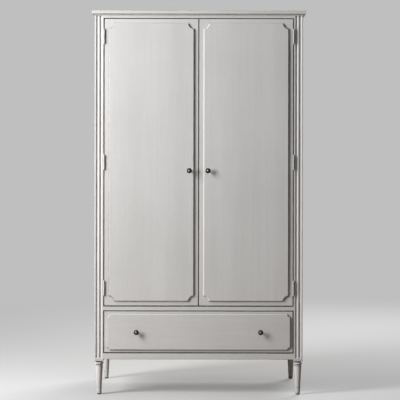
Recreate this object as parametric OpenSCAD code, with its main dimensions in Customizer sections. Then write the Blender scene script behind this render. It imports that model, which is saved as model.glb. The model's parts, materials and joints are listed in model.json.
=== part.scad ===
// Two-door wardrobe with one drawer on four turned legs.
// Millimetres, +Z up, front towards -Y, origin on the floor under the middle of the outer box.

/* [Overall size] */
// Height over everything
total_h = 1984; // [1800:1:2200]
// Width of the cornice board
cornice_w = 1104; // [940:1:1300]
// Depth of the carcass from the front of the posts to the back
carcass_d = 580; // [540:1:640]
// Height of the turned legs, up to the posts
leg_h = 173.5; // [150:0.5:220]

/* [Cornice] */
// How far the cornice board overhangs the posts at the front and sides
overhang = 14; // [13:1:24]
// Thickness of the cornice board
board_t = 17; // [12:0.5:24]
// Height of the cove moulding under the board
cove_h = 8.5; // [8:0.5:16]
// How far the cove moulding stands out from the posts
cove_out = 10; // [8:1:13]
// Height of the top rail that shows under the moulding
top_reveal = 12.5; // [10:0.5:40]

/* [Frame] */
// Width and depth of the square corner posts
post_w = 47; // [44:1:56]
// How much lower the posts reach than the bottom rails
post_drop = 9.5; // [6:0.5:14]
// Height of the rail under the drawer
bottom_rail_h = 32; // [26:1:44]
// Height of the rail between drawer and doors
mid_rail_h = 21.5; // [20:0.5:36]
// Height of the drawer opening
drawer_open_h = 220; // [180:1:260]
// Thickness of the two lower front rails, front to back
rail_t = 40; // [36:1:44]
// Height of the side and back rails
side_rail_h = 60; // [50:1:90]
// Width of one flute in a front post
flute_w = 14; // [8:0.5:15]
// Depth of a flute
flute_depth = 4.5; // [2:0.5:5]
// Distance of each flute from the middle of the post
flute_offset = 9.2; // [9:0.1:12]

/* [Doors] */
// Gap round each door
door_gap = 4; // [2.8:0.1:4.2]
// Thickness of the door frames
door_t = 22; // [20:1:26]
// Width of the stiles and rails of the doors
stile_w = 62; // [60:1:90]
// Thickness of the core panel between the stiles
core_t = 12; // [8:1:16]
// Margin of door that shows round the raised panel
door_margin = 21; // [18:0.5:40]
// Radius of the scooped corners on a door panel
door_scoop = 28; // [16:1:40]
// How far the raised panels stand proud
panel_raise = 8; // [4:0.5:9]
// Width of the bevel round a raised panel
panel_bevel = 5.5; // [3:0.5:12]

/* [Drawer] */
// Gap at the sides of the drawer front
drawer_gap = 4; // [2:0.5:5]
// Gap above and below the drawer front
drawer_gap_z = 4.5; // [2:0.5:5]
// Thickness of the drawer front
drawer_front_t = 20; // [18:1:24]
// Margin that shows round the raised panel of the drawer
drawer_margin = 10.5; // [8:0.5:30]
// Radius of the scooped corners on the drawer panel
drawer_scoop = 15; // [8:1:30]
// Thickness of the drawer sides and back
drawer_side_t = 12; // [10:1:16]
// Length of the drawer box behind its front
drawer_box_d = 500; // [400:1:510]

/* [Hinges and knobs] */
// Length of a hinge
hinge_h = 76; // [60:1:100]
// Diameter of the hinge barrel
barrel_d = 8; // [7.6:0.2:10]
// Thickness of a hinge leaf
leaf_t = 2.2; // [2:0.1:2.6]
// Distance of the outer hinges' middle from the ends of the door
hinge_end = 91; // [60:1:200]
// Diameter of a knob
knob_d = 27; // [20:1:34]
// How far a knob stands out from its panel
knob_reach = 28; // [26:1:34]
// Height of the door knobs above the floor
door_knob_z = 1158; // [1050:1:1250]
// Distance of a door knob from the middle of the wardrobe
door_knob_x = 48; // [36:1:56]
// Distance of a drawer knob from the middle of the wardrobe
drawer_knob_x = 320; // [120:1:360]

/* [Inside] */
// Height of the hat shelf's top above the floor
shelf_z = 1690; // [1600:1:1720]
// Thickness of the hat shelf and the cupboard floor
shelf_t = 18; // [16:1:20]
// Diameter of the hanging rail
hanging_d = 25; // [20:1:32]
// Drop from the underside of the shelf to the middle of the hanging rail
hanging_drop = 62; // [50:1:90]

/* [Hidden] */
$fn = 64;

paint = "#d3cec6";
inside_wood = "#c9b28c";
bronze = "#5b4a3c";
steel = "#9a9a98";

// small allowances
fit = 0.05;
play = 0.3;
cut = 1;

// depth: the outer box runs from the tips of the knobs to the back of the posts
total_d = carcass_d + panel_raise + knob_reach;
front = panel_raise + knob_reach - total_d / 2;
back = front + carcass_d;

// width
half_w = cornice_w / 2 - overhang;
inner_x = half_w - post_w;
post_x = half_w - post_w / 2;

// heights
rail_z = leg_h + post_drop;
drawer_open_z = rail_z + bottom_rail_h;
mid_rail_z = drawer_open_z + drawer_open_h;
door_open_z = mid_rail_z + mid_rail_h;
frame_top = total_h - board_t;
cove_z = frame_top - cove_h;
door_open_top = cove_z - top_reveal;

// radius along the edges of the cornice board
board_round = 3;

// sides and back
panel_t = 10;
panel_inset = 8;
groove = 6;
panel_outer = half_w - panel_inset;
panel_inner = panel_outer - panel_t;
side_rail_t = 24;
back_t = 6;
back_inset = 2;
back_rail_t = 20;
back_face = back - back_inset - back_t;
screw_hole_x = 200;
screw_hole_r = 2.5;

// doors
door_edge = inner_x - door_gap;
door_lock = door_gap / 2;
door_z = door_open_z + door_gap + 0.5;
door_top = door_open_top - door_gap;
door_h = door_top - door_z;
core_lip = 8;
shoulder = 1.5;
rail_span_x = door_edge - stile_w;

// hinges: the pin stands in the middle of the gap and the barrel just clears the front
barrel_r = barrel_d / 2;
pin_r = 2;
hinge_x = inner_x - door_gap / 2;
hinge_y = front - barrel_r;
leaf_gap = play;
leaf_w = 20;
leaf_in = leaf_gap + leaf_t - door_gap / 2;
knuckles = 5;
knuckle_h = hinge_h / knuckles;
hinge_zs = [door_z + hinge_end, (door_z + door_top) / 2, door_top - hinge_end];
hinge_screw_zs = [-26, 0, 26];
hinge_screw_l = 16;
screw_r = 1.5;
screw_head_r = 3;

// knobs
stud_r = 2;
stud_l = 16;

// drawer
drawer_half = inner_x - drawer_gap;
drawer_z = drawer_open_z + drawer_gap_z;
drawer_top = mid_rail_z - drawer_gap_z + 0.5;
drawer_front_h = drawer_top - drawer_z;
box_half = inner_x - 14;
box_z = drawer_open_z + 6.5;
box_top = mid_rail_z - 6;
box_y = front + drawer_front_t;
bottom_t = 6;
bottom_z = box_z + 10;
bottom_lip = 6;

// legs
glide_h = 5;
glide_r = 10;
bolt_r = 4;
bolt_into_post = 40;
bolt_into_leg = 45;
leg_y_front = front + post_w / 2;
leg_y_back = back - post_w / 2;

// inside
shelf_front = front + 40;
cleat_h = 22;
cleat_t = 14;
hanging_z = shelf_z - shelf_t - hanging_drop;
hanging_y = (front + back) / 2;
hanging_wall = 1.5;
socket_r = 24;
socket_t = 9;
stop_drop = 12;
stop_t = 14;
stop_y = front + door_t + play;
catch_x = 90;
catch_w = 40;
catch_h = 12;
catch_t = 12;
catch_top = door_open_top - stop_drop;
strike_edge = 4;
strike_t = 1.2;

// ---------- helpers ----------

// The children's x and y become X and Z, and they run back from y0 for length
module run_back(y0, length) {
    translate([0, y0 + length, 0]) rotate([90, 0, 0]) linear_extrude(height = length) children();
}

// The children's x and y become Y and Z, and they run to the right from x0 for length
module run_across(x0, length) {
    translate([x0, 0, 0]) rotate([90, 0, 90]) linear_extrude(height = length) children();
}

// A block between two corners
module block(low, high) {
    translate(low) cube(high - low);
}

// Points the children's axis, which is Z, towards the front
module facing_front() {
    rotate([90, 0, 0]) children();
}

// The same parts on the other side of the wardrobe
module right_hand() {
    mirror([1, 0, 0]) children();
}

// One on each side
module both_hands() {
    children();
    right_hand() children();
}

// Thickness profile of a panel with a bevel along two edges: distance along it, height
function bevel_profile(length) = [
    [0, 0], [length, 0], [length, shoulder], [length - panel_bevel, panel_raise],
    [panel_bevel, panel_raise], [0, shoulder],
];

// Raised panel with bevelled edges and scooped corners, standing proud of the front
module raised_panel(x0, z0, x1, z1, scoop) {
    slope = panel_bevel / (panel_raise - shoulder);
    difference() {
        intersection() {
            run_across(x0, x1 - x0) polygon([for (p = bevel_profile(z1 - z0)) [front - p[1], z0 + p[0]]]);
            translate([0, 0, z0]) linear_extrude(height = z1 - z0)
                polygon([for (p = bevel_profile(x1 - x0)) [x0 + p[0], front - p[1]]]);
        }
        for (x = [x0, x1], z = [z0, z1]) translate([x, front, z]) facing_front() {
            translate([0, 0, -cut]) cylinder(h = shoulder + 2 * cut, r = scoop);
            translate([0, 0, shoulder])
                cylinder(h = panel_raise - shoulder + cut, r1 = scoop,
                         r2 = scoop + slope * (panel_raise - shoulder + cut));
        }
    }
}

// Knob with a threaded stud, its foot on a panel face; at its own origin it points up
module knob() {
    head_r = knob_d / 2;
    rotate_extrude() polygon([
        [0, 0], [8, 0], [8, 1.5], [6, 3], [4.8, 6], [4.8, knob_reach - 14], [7, knob_reach - 11],
        [head_r - 1, knob_reach - 9], [head_r, knob_reach - 7], [head_r, knob_reach - 4.5],
        [head_r - 2, knob_reach - 3], [head_r - 3.5, knob_reach - 3], [head_r - 7, knob_reach - 0.8],
        [0, knob_reach],
    ]);
    translate([0, 0, -stud_l]) cylinder(h = stud_l + cut, r = stud_r);
}

module knob_at(x, z) {
    translate([x, front - panel_raise, z]) facing_front() knob();
}

// The hole for a knob's stud
module stud_hole(x, z) {
    translate([x, front - panel_raise, z]) facing_front()
        translate([0, 0, -stud_l - cut]) cylinder(h = stud_l + 2 * cut, r = stud_r + fit);
}

// ---------- cornice ----------

// The section of a board with a round over and a round under its moulded edge
module moulded_edge(x0, x1, z0, z1, both_ends) {
    r = board_round;
    translate([x0 + r, z0]) square([x1 - x0 - (both_ends ? 2 : 1) * r, z1 - z0]);
    translate([x0, z0 + r]) square([x1 - x0, z1 - z0 - 2 * r]);
    for (x = both_ends ? [x0 + r, x1 - r] : [x0 + r], z = [z0 + r, z1 - r]) translate([x, z]) circle(r = r);
}

module cornice_board() {
    color(paint) intersection() {
        run_across(-cornice_w / 2, cornice_w) moulded_edge(front - overhang, back, frame_top, total_h, false);
        run_back(front - overhang, carcass_d + overhang)
            moulded_edge(-cornice_w / 2, cornice_w / 2, frame_top, total_h, true);
    }
}

// Block the size of the moulding with a cove along its front or its two ends
module cove_front() {
    r = min(cove_out, cove_h) - 2;
    run_across(-half_w - cove_out, 2 * (half_w + cove_out)) difference() {
        translate([front - cove_out, cove_z]) square([carcass_d + cove_out, cove_h]);
        translate([front - cove_out, cove_z]) circle(r = r);
    }
}

module cove_ends() {
    r = min(cove_out, cove_h) - 2;
    run_back(front - cove_out, carcass_d + cove_out) difference() {
        translate([-half_w - cove_out, cove_z]) square([2 * (half_w + cove_out), cove_h]);
        for (x = [-half_w - cove_out, half_w + cove_out]) translate([x, cove_z]) circle(r = r);
    }
}

module cornice_moulding() {
    color(paint) difference() {
        intersection() {
            cove_front();
            cove_ends();
        }
        block([-half_w, front, cove_z - cut], [half_w, back + cut, frame_top + cut]);
    }
}

// ---------- frame ----------

// The left side panel, let into the posts and the rails round it
module side_panel_space(extra) {
    block([-panel_outer - extra, front + post_w - groove - extra, rail_z + side_rail_h - groove - extra],
          [-panel_inner + extra, back - post_w + groove + extra, frame_top - side_rail_h + groove + extra]);
}

module back_panel_space(extra) {
    block([-inner_x - groove - extra, back_face - extra, rail_z + 8 - extra],
          [inner_x + groove + extra, back - back_inset + extra, frame_top - 8 + extra]);
}

module leg_bolt_hole(y) {
    translate([-post_x, y, leg_h - bolt_into_leg]) cylinder(h = bolt_into_leg + bolt_into_post, r = bolt_r + fit);
}

// What the three left hinges take out of the left post
module hinge_recess() {
    for (z = hinge_zs) {
        block([-inner_x - leaf_in, front - cut, z - hinge_h / 2 - fit],
              [-inner_x + cut, front + leaf_w + fit, z + hinge_h / 2 + fit]);
        hinge_screw_places(z) cylinder(h = hinge_screw_l + fit, r = screw_r + fit);
    }
}

// Puts the children at a left hinge's screws: Z runs from the leaf's open face into the post
module hinge_screw_places(z) {
    for (i = [0 : len(hinge_screw_zs) - 1])
        translate([-hinge_x - leaf_gap, front + (i % 2 == 0 ? 8 : 14), z + hinge_screw_zs[i]])
            rotate([0, -90, 0]) children();
}

module flute(x) {
    r = (flute_w * flute_w / 4 + flute_depth * flute_depth) / (2 * flute_depth);
    bottom = rail_z + 6 + flute_w / 2;
    translate([x, front - r + flute_depth, bottom]) {
        cylinder(h = frame_top - bottom + cut, r = r);
        sphere(r = r);
    }
}

module front_post() {
    color(paint) difference() {
        block([-half_w, front, leg_h], [-inner_x, front + post_w, frame_top]);
        for (side = [-1, 1]) flute(-post_x + side * flute_offset);
        side_panel_space(fit);
        hinge_recess();
        leg_bolt_hole(leg_y_front);
    }
}

module front_left_post() {
    front_post();
}

module front_right_post() {
    right_hand() front_post();
}

module rear_post() {
    color(paint) difference() {
        block([-half_w, back - post_w, leg_h], [-inner_x, back, frame_top]);
        side_panel_space(fit);
        block([-inner_x - groove - fit, back_face - fit, rail_z], [-inner_x + cut, back + cut, frame_top + cut]);
        leg_bolt_hole(leg_y_back);
    }
}

module rear_left_post() {
    rear_post();
}

module rear_right_post() {
    right_hand() rear_post();
}

module top_front_rail() {
    color(paint) block([-inner_x, front, door_open_top], [inner_x, front + door_t, frame_top]);
}

module mid_front_rail() {
    color(paint) block([-inner_x, front, mid_rail_z], [inner_x, front + rail_t, door_open_z]);
}

module bottom_front_rail() {
    color(paint) block([-inner_x, front, rail_z], [inner_x, front + rail_t, drawer_open_z]);
}

module side_panel() {
    color(paint) side_panel_space(0);
}

module left_side_panel() {
    side_panel();
}

module right_side_panel() {
    right_hand() side_panel();
}

// Top and bottom rails of one side
module side_rails() {
    color(paint) difference() {
        for (z = [rail_z, frame_top - side_rail_h])
            block([-half_w, front + post_w, z], [-half_w + side_rail_t, back - post_w, z + side_rail_h]);
        side_panel_space(fit);
    }
}

module left_side_rails() {
    side_rails();
}

module right_side_rails() {
    right_hand() side_rails();
}

module back_panel() {
    color(inside_wood) difference() {
        back_panel_space(0);
        wall_screw_holes();
    }
}

// Bottom, middle and top rails in front of the back panel; the top one takes two wall screws
module back_rails() {
    color(inside_wood) difference() {
        for (z = [rail_z, door_open_z - shelf_t - side_rail_h, frame_top - side_rail_h])
            block([-inner_x, back_face - back_rail_t, z], [inner_x, back_face, z + side_rail_h]);
        wall_screw_holes();
    }
}

// Two holes right through the top rail and the back panel
module wall_screw_holes() {
    for (x = [-screw_hole_x, screw_hole_x])
        translate([x, back_face + back_t + cut, frame_top - side_rail_h / 2]) facing_front()
            cylinder(h = back_t + back_rail_t + 2 * cut, r = screw_hole_r);
}

// ---------- inside ----------

// Board that fills the inside and fits round the four posts
module inner_board(y0, z_top) {
    block([-inner_x, y0, z_top - shelf_t], [inner_x, back_face, z_top]);
    block([-panel_inner, front + post_w, z_top - shelf_t], [panel_inner, back - post_w, z_top]);
}

module cupboard_floor() {
    color(inside_wood) inner_board(front + rail_t, door_open_z);
}

module hat_shelf() {
    color(inside_wood) inner_board(shelf_front, shelf_z);
}

// Strips on the sides and the back that carry the hat shelf and the cupboard floor
module shelf_cleats() {
    color(inside_wood) {
        for (z = [shelf_z, door_open_z]) both_hands()
            block([-panel_inner, front + post_w, z - shelf_t - cleat_h],
                  [-panel_inner + cleat_t, back - post_w, z - shelf_t]);
        block([-inner_x, back_face - cleat_t, shelf_z - shelf_t - cleat_h],
              [inner_x, back_face, shelf_z - shelf_t]);
    }
}

module hanging_rail() {
    color(steel) translate([-panel_inner + 1, hanging_y, hanging_z]) rotate([0, 90, 0]) difference() {
        cylinder(h = 2 * panel_inner - 2, r = hanging_d / 2);
        translate([0, 0, -cut]) cylinder(h = 2 * panel_inner + cut, r = hanging_d / 2 - hanging_wall);
    }
}

module rail_sockets() {
    color(steel) both_hands() translate([-panel_inner, hanging_y, hanging_z]) rotate([0, 90, 0]) difference() {
        cylinder(h = socket_t, r = socket_r);
        translate([0, 0, 1 - fit]) cylinder(h = socket_t, r = hanging_d / 2 + fit);
    }
}

// Runner and side guide for each side of the drawer
module drawer_runners() {
    color(inside_wood) both_hands() {
        block([-inner_x, front + rail_t, rail_z + 10], [-inner_x + 50, back_face - back_rail_t, box_z - play]);
        block([-inner_x, front + rail_t, box_z - play],
              [-box_half - 1, back_face - back_rail_t, box_z + 34]);
    }
}

// Strip behind the top rail that the doors close against
module door_stop() {
    color(paint) block([-inner_x, stop_y, catch_top], [inner_x, stop_y + stop_t, frame_top]);
}

// Two magnet catches under the stop strip, just clear of the strike plates
module door_catches() {
    color(bronze) both_hands()
        block([-catch_x - catch_w / 2, stop_y, catch_top - catch_h],
              [-catch_x + catch_w / 2, stop_y + catch_t, catch_top]);
}

// ---------- legs ----------

// Half outline of a turned leg: radius, height above the floor
leg_outline = [
    [0, glide_h], [12, glide_h], [13.5, 9], [13.5, 13], [12.5, 16], [13.2, 34], [14.6, 38], [14.6, 42],
    [13.5, 46], [19, leg_h - 27], [19.6, leg_h - 26], [19.6, leg_h - 23], [17, leg_h - 22],
    [17, leg_h - 18], [21, leg_h - 17], [22.4, leg_h - 14], [22.8, leg_h - 11.5], [22.4, leg_h - 9],
    [21, leg_h - 6], [15, leg_h - 5], [14.5, leg_h - 4], [14.5, leg_h], [0, leg_h],
];

module leg(y) {
    color(paint) difference() {
        translate([-post_x, y, 0]) rotate_extrude() polygon(leg_outline);
        leg_bolt_hole(y);
    }
}

module front_left_leg() {
    leg(leg_y_front);
}

module front_right_leg() {
    right_hand() leg(leg_y_front);
}

module rear_left_leg() {
    leg(leg_y_back);
}

module rear_right_leg() {
    right_hand() leg(leg_y_back);
}

module foot_glides() {
    color(bronze) both_hands() for (y = [leg_y_front, leg_y_back])
        translate([-post_x, y, 0]) cylinder(h = glide_h, r = glide_r);
}

// Headless bolts that join each leg to its post
module leg_bolts() {
    color(steel) both_hands() for (y = [leg_y_front, leg_y_back])
        translate([-post_x, y, leg_h - bolt_into_leg + fit])
            cylinder(h = bolt_into_leg + bolt_into_post - 2 * fit, r = bolt_r);
}

// ---------- hinges ----------

// One leaf of a left-hand hinge, with the knuckles numbered first, first + 2 and so on.
// It lies on the -X side of the pin; the other leaf is its mirror image.
module hinge_leaf(first, z) {
    translate([-hinge_x, hinge_y, z - hinge_h / 2]) difference() {
        union() {
            block([-leaf_gap - leaf_t, barrel_r + leaf_gap, 0], [-leaf_gap, barrel_r + leaf_w, hinge_h]);
            for (i = [first : 2 : knuckles - 1]) translate([0, 0, i * knuckle_h + play / 2]) {
                cylinder(h = knuckle_h - play, r = barrel_r);
                block([-leaf_gap - leaf_t, 0, 0], [-leaf_gap, barrel_r + leaf_w / 2, knuckle_h - play]);
            }
        }
        translate([0, 0, -cut]) cylinder(h = hinge_h + 2 * cut, r = pin_r + fit);
    }
}

// The leaf with its countersunk holes, drawn for the frame
module screwed_leaf(first, z) {
    difference() {
        hinge_leaf(first, z);
        hinge_screw_places(z) {
            translate([0, 0, -fit]) cylinder(h = leaf_t + 2 * fit, r1 = screw_head_r + fit, r2 = screw_r + fit);
            cylinder(h = leaf_t + cut, r = screw_r + fit);
        }
    }
}

module frame_hinge_leaves() {
    color(paint) both_hands() for (z = hinge_zs) screwed_leaf(0, z);
}

// Turns what is drawn for the left post's side of the left hinges into the left door's side
module door_side() {
    translate([-2 * hinge_x, 0, 0]) mirror([1, 0, 0]) children();
}

module hinge_screws() {
    color(steel) for (z = hinge_zs) hinge_screw_places(z) {
        cylinder(h = leaf_t, r1 = screw_head_r, r2 = screw_r);
        cylinder(h = hinge_screw_l, r = screw_r);
    }
}

module frame_hinge_screws() {
    both_hands() hinge_screws();
}

module hinge_pins() {
    color(steel) both_hands() for (z = hinge_zs)
        translate([-hinge_x, hinge_y, z - hinge_h / 2]) cylinder(h = hinge_h, r = pin_r);
}

// ---------- doors, drawn for the left-hand door ----------

// The core lies in a rebate in the front of the stiles and rails
module core_space(extra) {
    block([-rail_span_x - core_lip - extra, front - extra, door_z + stile_w - core_lip - extra],
          [-door_lock - stile_w + core_lip + extra, front + core_t + extra,
           door_top - stile_w + core_lip + extra]);
}

module hinge_stile() {
    color(paint) difference() {
        block([-door_edge, front, door_z], [-door_edge + stile_w, front + door_t, door_top]);
        core_space(fit);
        door_side() hinge_recess();
    }
}

module lock_stile() {
    color(paint) difference() {
        block([-door_lock - stile_w, front, door_z], [-door_lock, front + door_t, door_top]);
        core_space(fit);
        stud_hole(-door_knob_x, door_knob_z);
    }
}

// A rail of the door between its stiles
module door_rail(z) {
    color(paint) difference() {
        block([-rail_span_x, front, z], [-door_lock - stile_w, front + door_t, z + stile_w]);
        core_space(fit);
        strike_space(fit);
    }
}

module door_core() {
    color(paint) core_space(0);
}

module door_raised_panel() {
    color(paint) difference() {
        raised_panel(-door_edge + door_margin, door_z + door_margin, -door_lock - door_margin,
                     door_top - door_margin, door_scoop);
        stud_hole(-door_knob_x, door_knob_z);
    }
}

module door_knob() {
    color(bronze) knob_at(-door_knob_x, door_knob_z);
}

module door_hinge_leaves() {
    color(paint) door_side() for (z = hinge_zs) screwed_leaf(1, z);
}

// Steel plate let into the back of the door, opposite the catch
module strike_space(extra) {
    block([-catch_x - catch_w / 2 + strike_edge - extra, front + door_t - strike_t - extra,
           catch_top - catch_h - extra],
          [-catch_x + catch_w / 2 - strike_edge + extra, front + door_t + (extra > 0 ? cut : 0),
           catch_top + extra]);
}

module door_strike() {
    color(steel) strike_space(0);
}

module left_door_hinge_stile() {
    hinge_stile();
}

module left_door_lock_stile() {
    lock_stile();
}

module left_door_top_rail() {
    door_rail(door_top - stile_w);
}

module left_door_bottom_rail() {
    door_rail(door_z);
}

module left_door_core() {
    door_core();
}

module left_door_raised_panel() {
    door_raised_panel();
}

module left_door_knob() {
    door_knob();
}

module left_door_hinge_leaves() {
    door_hinge_leaves();
}

module left_door_hinge_screws() {
    door_side() hinge_screws();
}

module left_door_strike() {
    door_strike();
}

module right_door_hinge_stile() {
    right_hand() hinge_stile();
}

module right_door_lock_stile() {
    right_hand() lock_stile();
}

module right_door_top_rail() {
    right_hand() door_rail(door_top - stile_w);
}

module right_door_bottom_rail() {
    right_hand() door_rail(door_z);
}

module right_door_core() {
    right_hand() door_core();
}

module right_door_raised_panel() {
    right_hand() door_raised_panel();
}

module right_door_knob() {
    right_hand() door_knob();
}

module right_door_hinge_leaves() {
    right_hand() door_hinge_leaves();
}

module right_door_hinge_screws() {
    right_hand() door_side() hinge_screws();
}

module right_door_strike() {
    right_hand() door_strike();
}

// ---------- drawer ----------

module drawer_front() {
    color(paint) difference() {
        block([-drawer_half, front, drawer_z], [drawer_half, front + drawer_front_t, drawer_top]);
        for (x = [-drawer_knob_x, drawer_knob_x]) stud_hole(x, (drawer_z + drawer_top) / 2);
        drawer_bottom_space(fit);
    }
}

module drawer_raised_panel() {
    color(paint) difference() {
        raised_panel(-drawer_half + drawer_margin, drawer_z + drawer_margin,
                     drawer_half - drawer_margin, drawer_top - drawer_margin, drawer_scoop);
        for (x = [-drawer_knob_x, drawer_knob_x]) stud_hole(x, (drawer_z + drawer_top) / 2);
    }
}

// The bottom sits in a groove in the sides, the front and the back
module drawer_bottom_space(extra) {
    block([-box_half + drawer_side_t - bottom_lip - extra, box_y - bottom_lip - extra, bottom_z - extra],
          [box_half - drawer_side_t + bottom_lip + extra, box_y + drawer_box_d - drawer_side_t + bottom_lip + extra,
           bottom_z + bottom_t + extra]);
}

module drawer_side() {
    color(inside_wood) difference() {
        block([-box_half, box_y, box_z], [-box_half + drawer_side_t, box_y + drawer_box_d, box_top]);
        drawer_bottom_space(fit);
    }
}

module drawer_left_side() {
    drawer_side();
}

module drawer_right_side() {
    right_hand() drawer_side();
}

module drawer_back() {
    color(inside_wood) difference() {
        block([-box_half + drawer_side_t, box_y + drawer_box_d - drawer_side_t, box_z],
              [box_half - drawer_side_t, box_y + drawer_box_d, box_top - 12]);
        drawer_bottom_space(fit);
    }
}

module drawer_bottom() {
    color(inside_wood) drawer_bottom_space(0);
}

module drawer_knobs() {
    color(bronze) for (x = [-drawer_knob_x, drawer_knob_x]) knob_at(x, (drawer_z + drawer_top) / 2);
}

// ---------- what is drawn ----------

cornice_board();
cornice_moulding();
top_front_rail();
mid_front_rail();
bottom_front_rail();
front_left_post();
front_right_post();
rear_left_post();
rear_right_post();
left_side_panel();
right_side_panel();
left_side_rails();
right_side_rails();
back_panel();
back_rails();
cupboard_floor();
drawer_runners();
hat_shelf();
shelf_cleats();
hanging_rail();
rail_sockets();
door_stop();
door_catches();
front_left_leg();
front_right_leg();
rear_left_leg();
rear_right_leg();
foot_glides();
leg_bolts();
frame_hinge_leaves();
frame_hinge_screws();
hinge_pins();
left_door_hinge_stile();
left_door_lock_stile();
left_door_top_rail();
left_door_bottom_rail();
left_door_core();
left_door_raised_panel();
left_door_knob();
left_door_hinge_leaves();
left_door_hinge_screws();
left_door_strike();
right_door_hinge_stile();
right_door_lock_stile();
right_door_top_rail();
right_door_bottom_rail();
right_door_core();
right_door_raised_panel();
right_door_knob();
right_door_hinge_leaves();
right_door_hinge_screws();
right_door_strike();
drawer_front();
drawer_raised_panel();
drawer_left_side();
drawer_right_side();
drawer_back();
drawer_bottom();
drawer_knobs();
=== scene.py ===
import json
import math

import bmesh
import bpy
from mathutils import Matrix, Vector


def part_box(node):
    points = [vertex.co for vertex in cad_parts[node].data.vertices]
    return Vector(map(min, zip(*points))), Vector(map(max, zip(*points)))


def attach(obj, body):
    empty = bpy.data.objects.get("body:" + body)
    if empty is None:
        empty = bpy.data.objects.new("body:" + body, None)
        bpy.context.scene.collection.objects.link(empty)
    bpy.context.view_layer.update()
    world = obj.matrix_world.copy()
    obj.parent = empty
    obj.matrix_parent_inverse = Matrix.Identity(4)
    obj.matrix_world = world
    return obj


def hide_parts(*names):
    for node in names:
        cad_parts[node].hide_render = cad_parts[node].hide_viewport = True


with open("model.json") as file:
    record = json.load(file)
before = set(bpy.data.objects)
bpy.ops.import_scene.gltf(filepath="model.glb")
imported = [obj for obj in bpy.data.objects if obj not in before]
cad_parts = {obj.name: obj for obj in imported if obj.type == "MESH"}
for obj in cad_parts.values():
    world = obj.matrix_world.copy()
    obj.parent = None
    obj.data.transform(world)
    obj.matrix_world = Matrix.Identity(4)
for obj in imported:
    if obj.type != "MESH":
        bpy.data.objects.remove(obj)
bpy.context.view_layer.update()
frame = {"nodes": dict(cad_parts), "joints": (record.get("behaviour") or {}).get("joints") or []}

MM = 0.001
HANDS = ("left", "right")


# ---------- sizes that come from the frame ----------

post_low, post_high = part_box("front_left_post")
FRONT = post_low.y
HALF_W = -post_low.x
INNER_X = -post_high.x
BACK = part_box("rear_left_post")[1].y
door_hinge = next(joint for joint in frame["joints"] if joint["name"] == "right_door_hinge")
PIN_X, PIN_Y = door_hinge["pos_m"][:2]
BARREL_R = FRONT - PIN_Y


# ---------- shader helpers ----------

def node(tree, kind, inputs=None, **settings):
    """Adds a shader node; an input is a number, a vector, a colour or another node's socket."""
    made = tree.nodes.new("ShaderNode" + kind)
    for key, value in settings.items():
        setattr(made, key, value)
    for key, value in (inputs or {}).items():
        if isinstance(value, bpy.types.NodeSocket):
            tree.links.new(value, made.inputs[key])
        else:
            made.inputs[key].default_value = value
    return made


def calc(tree, operation, a, b=0.0, clamp=False):
    return node(tree, "Math", {0: a, 1: b}, operation=operation, use_clamp=clamp).outputs[0]


def weighted_sum(tree, *parts):
    """Adds up pairs of a value and its weight."""
    total = None
    for value, weight in parts:
        term = calc(tree, "MULTIPLY", value, weight)
        total = term if total is None else calc(tree, "ADD", total, term)
    return total


def blend_color(tree, factor, a, b):
    return node(tree, "Mix", {0: factor, 6: a, 7: b}, data_type="RGBA").outputs[2]


def noise(tree, vector, scale, detail=3.0, roughness=0.5, distortion=0.0):
    settings = {"Vector": vector, "Scale": scale, "Detail": detail, "Roughness": roughness,
                "Distortion": distortion}
    return node(tree, "TexNoise", settings).outputs["Fac"]


def span(tree, value, low, high, to_low=0.0, to_high=1.0):
    """Maps value from low..high to to_low..to_high, smoothly and clamped."""
    inputs = {"Value": value, "From Min": low, "From Max": high,
              "To Min": to_low, "To Max": to_high}
    made = node(tree, "MapRange", inputs, interpolation_type="SMOOTHSTEP", clamp=True)
    return made.outputs[0]


# metres that the texture moves along each axis, times the piece's random number from 0 to 1
PIECE_SHIFT = (3.7, 7.1, 5.3)


def place(tree, stretch=(1, 1, 1)):
    """Object coordinates, moved a different way on each piece and scaled along each axis."""
    coords = node(tree, "TexCoord").outputs["Object"]
    random = node(tree, "ObjectInfo").outputs["Random"]
    steps = {axis: calc(tree, "MULTIPLY", random, far) for axis, far in enumerate(PIECE_SHIFT)}
    shift = node(tree, "CombineXYZ", steps).outputs[0]
    moved = node(tree, "VectorMath", {0: coords, 1: shift}, operation="ADD").outputs[0]
    return node(tree, "VectorMath", {0: moved, 1: stretch}, operation="MULTIPLY").outputs[0]


def new_tree(owner):
    """An empty node tree for a material or a world."""
    owner.use_nodes = True
    owner.node_tree.nodes.clear()
    return owner.node_tree


def new_material(name):
    material = bpy.data.materials.new(name)
    tree = new_tree(material)
    shader = node(tree, "BsdfPrincipled")
    node(tree, "OutputMaterial", {0: shader.outputs[0]})
    return material, tree, shader


def bump(tree, height, distance, strength):
    inputs = {"Height": height, "Distance": distance, "Strength": strength}
    return node(tree, "Bump", inputs).outputs[0]


def dress(tree, shader, color, roughness, normal):
    """Feeds a shader its colour, roughness and bumped normal."""
    for socket, value in (("Base Color", color), ("Roughness", roughness), ("Normal", normal)):
        tree.links.new(value, shader.inputs[socket])


def corners(tree, radius):
    """How far the surface turns within radius: 0 on flat ground, up to 1 on an edge."""
    rounded = node(tree, "Bevel", {"Radius": radius}, samples=6).outputs[0]
    flat = node(tree, "NewGeometry").outputs["True Normal"]
    turn = node(tree, "VectorMath", {0: rounded, 1: flat}, operation="DOT_PRODUCT")
    return calc(tree, "SUBTRACT", 1.0, turn.outputs["Value"], clamp=True)


def openness(tree, distance):
    """1 in the open, towards 0 in grooves and corners."""
    return node(tree, "AmbientOcclusion", {"Distance": distance}, samples=8).outputs["AO"]


# ---------- materials ----------

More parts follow.
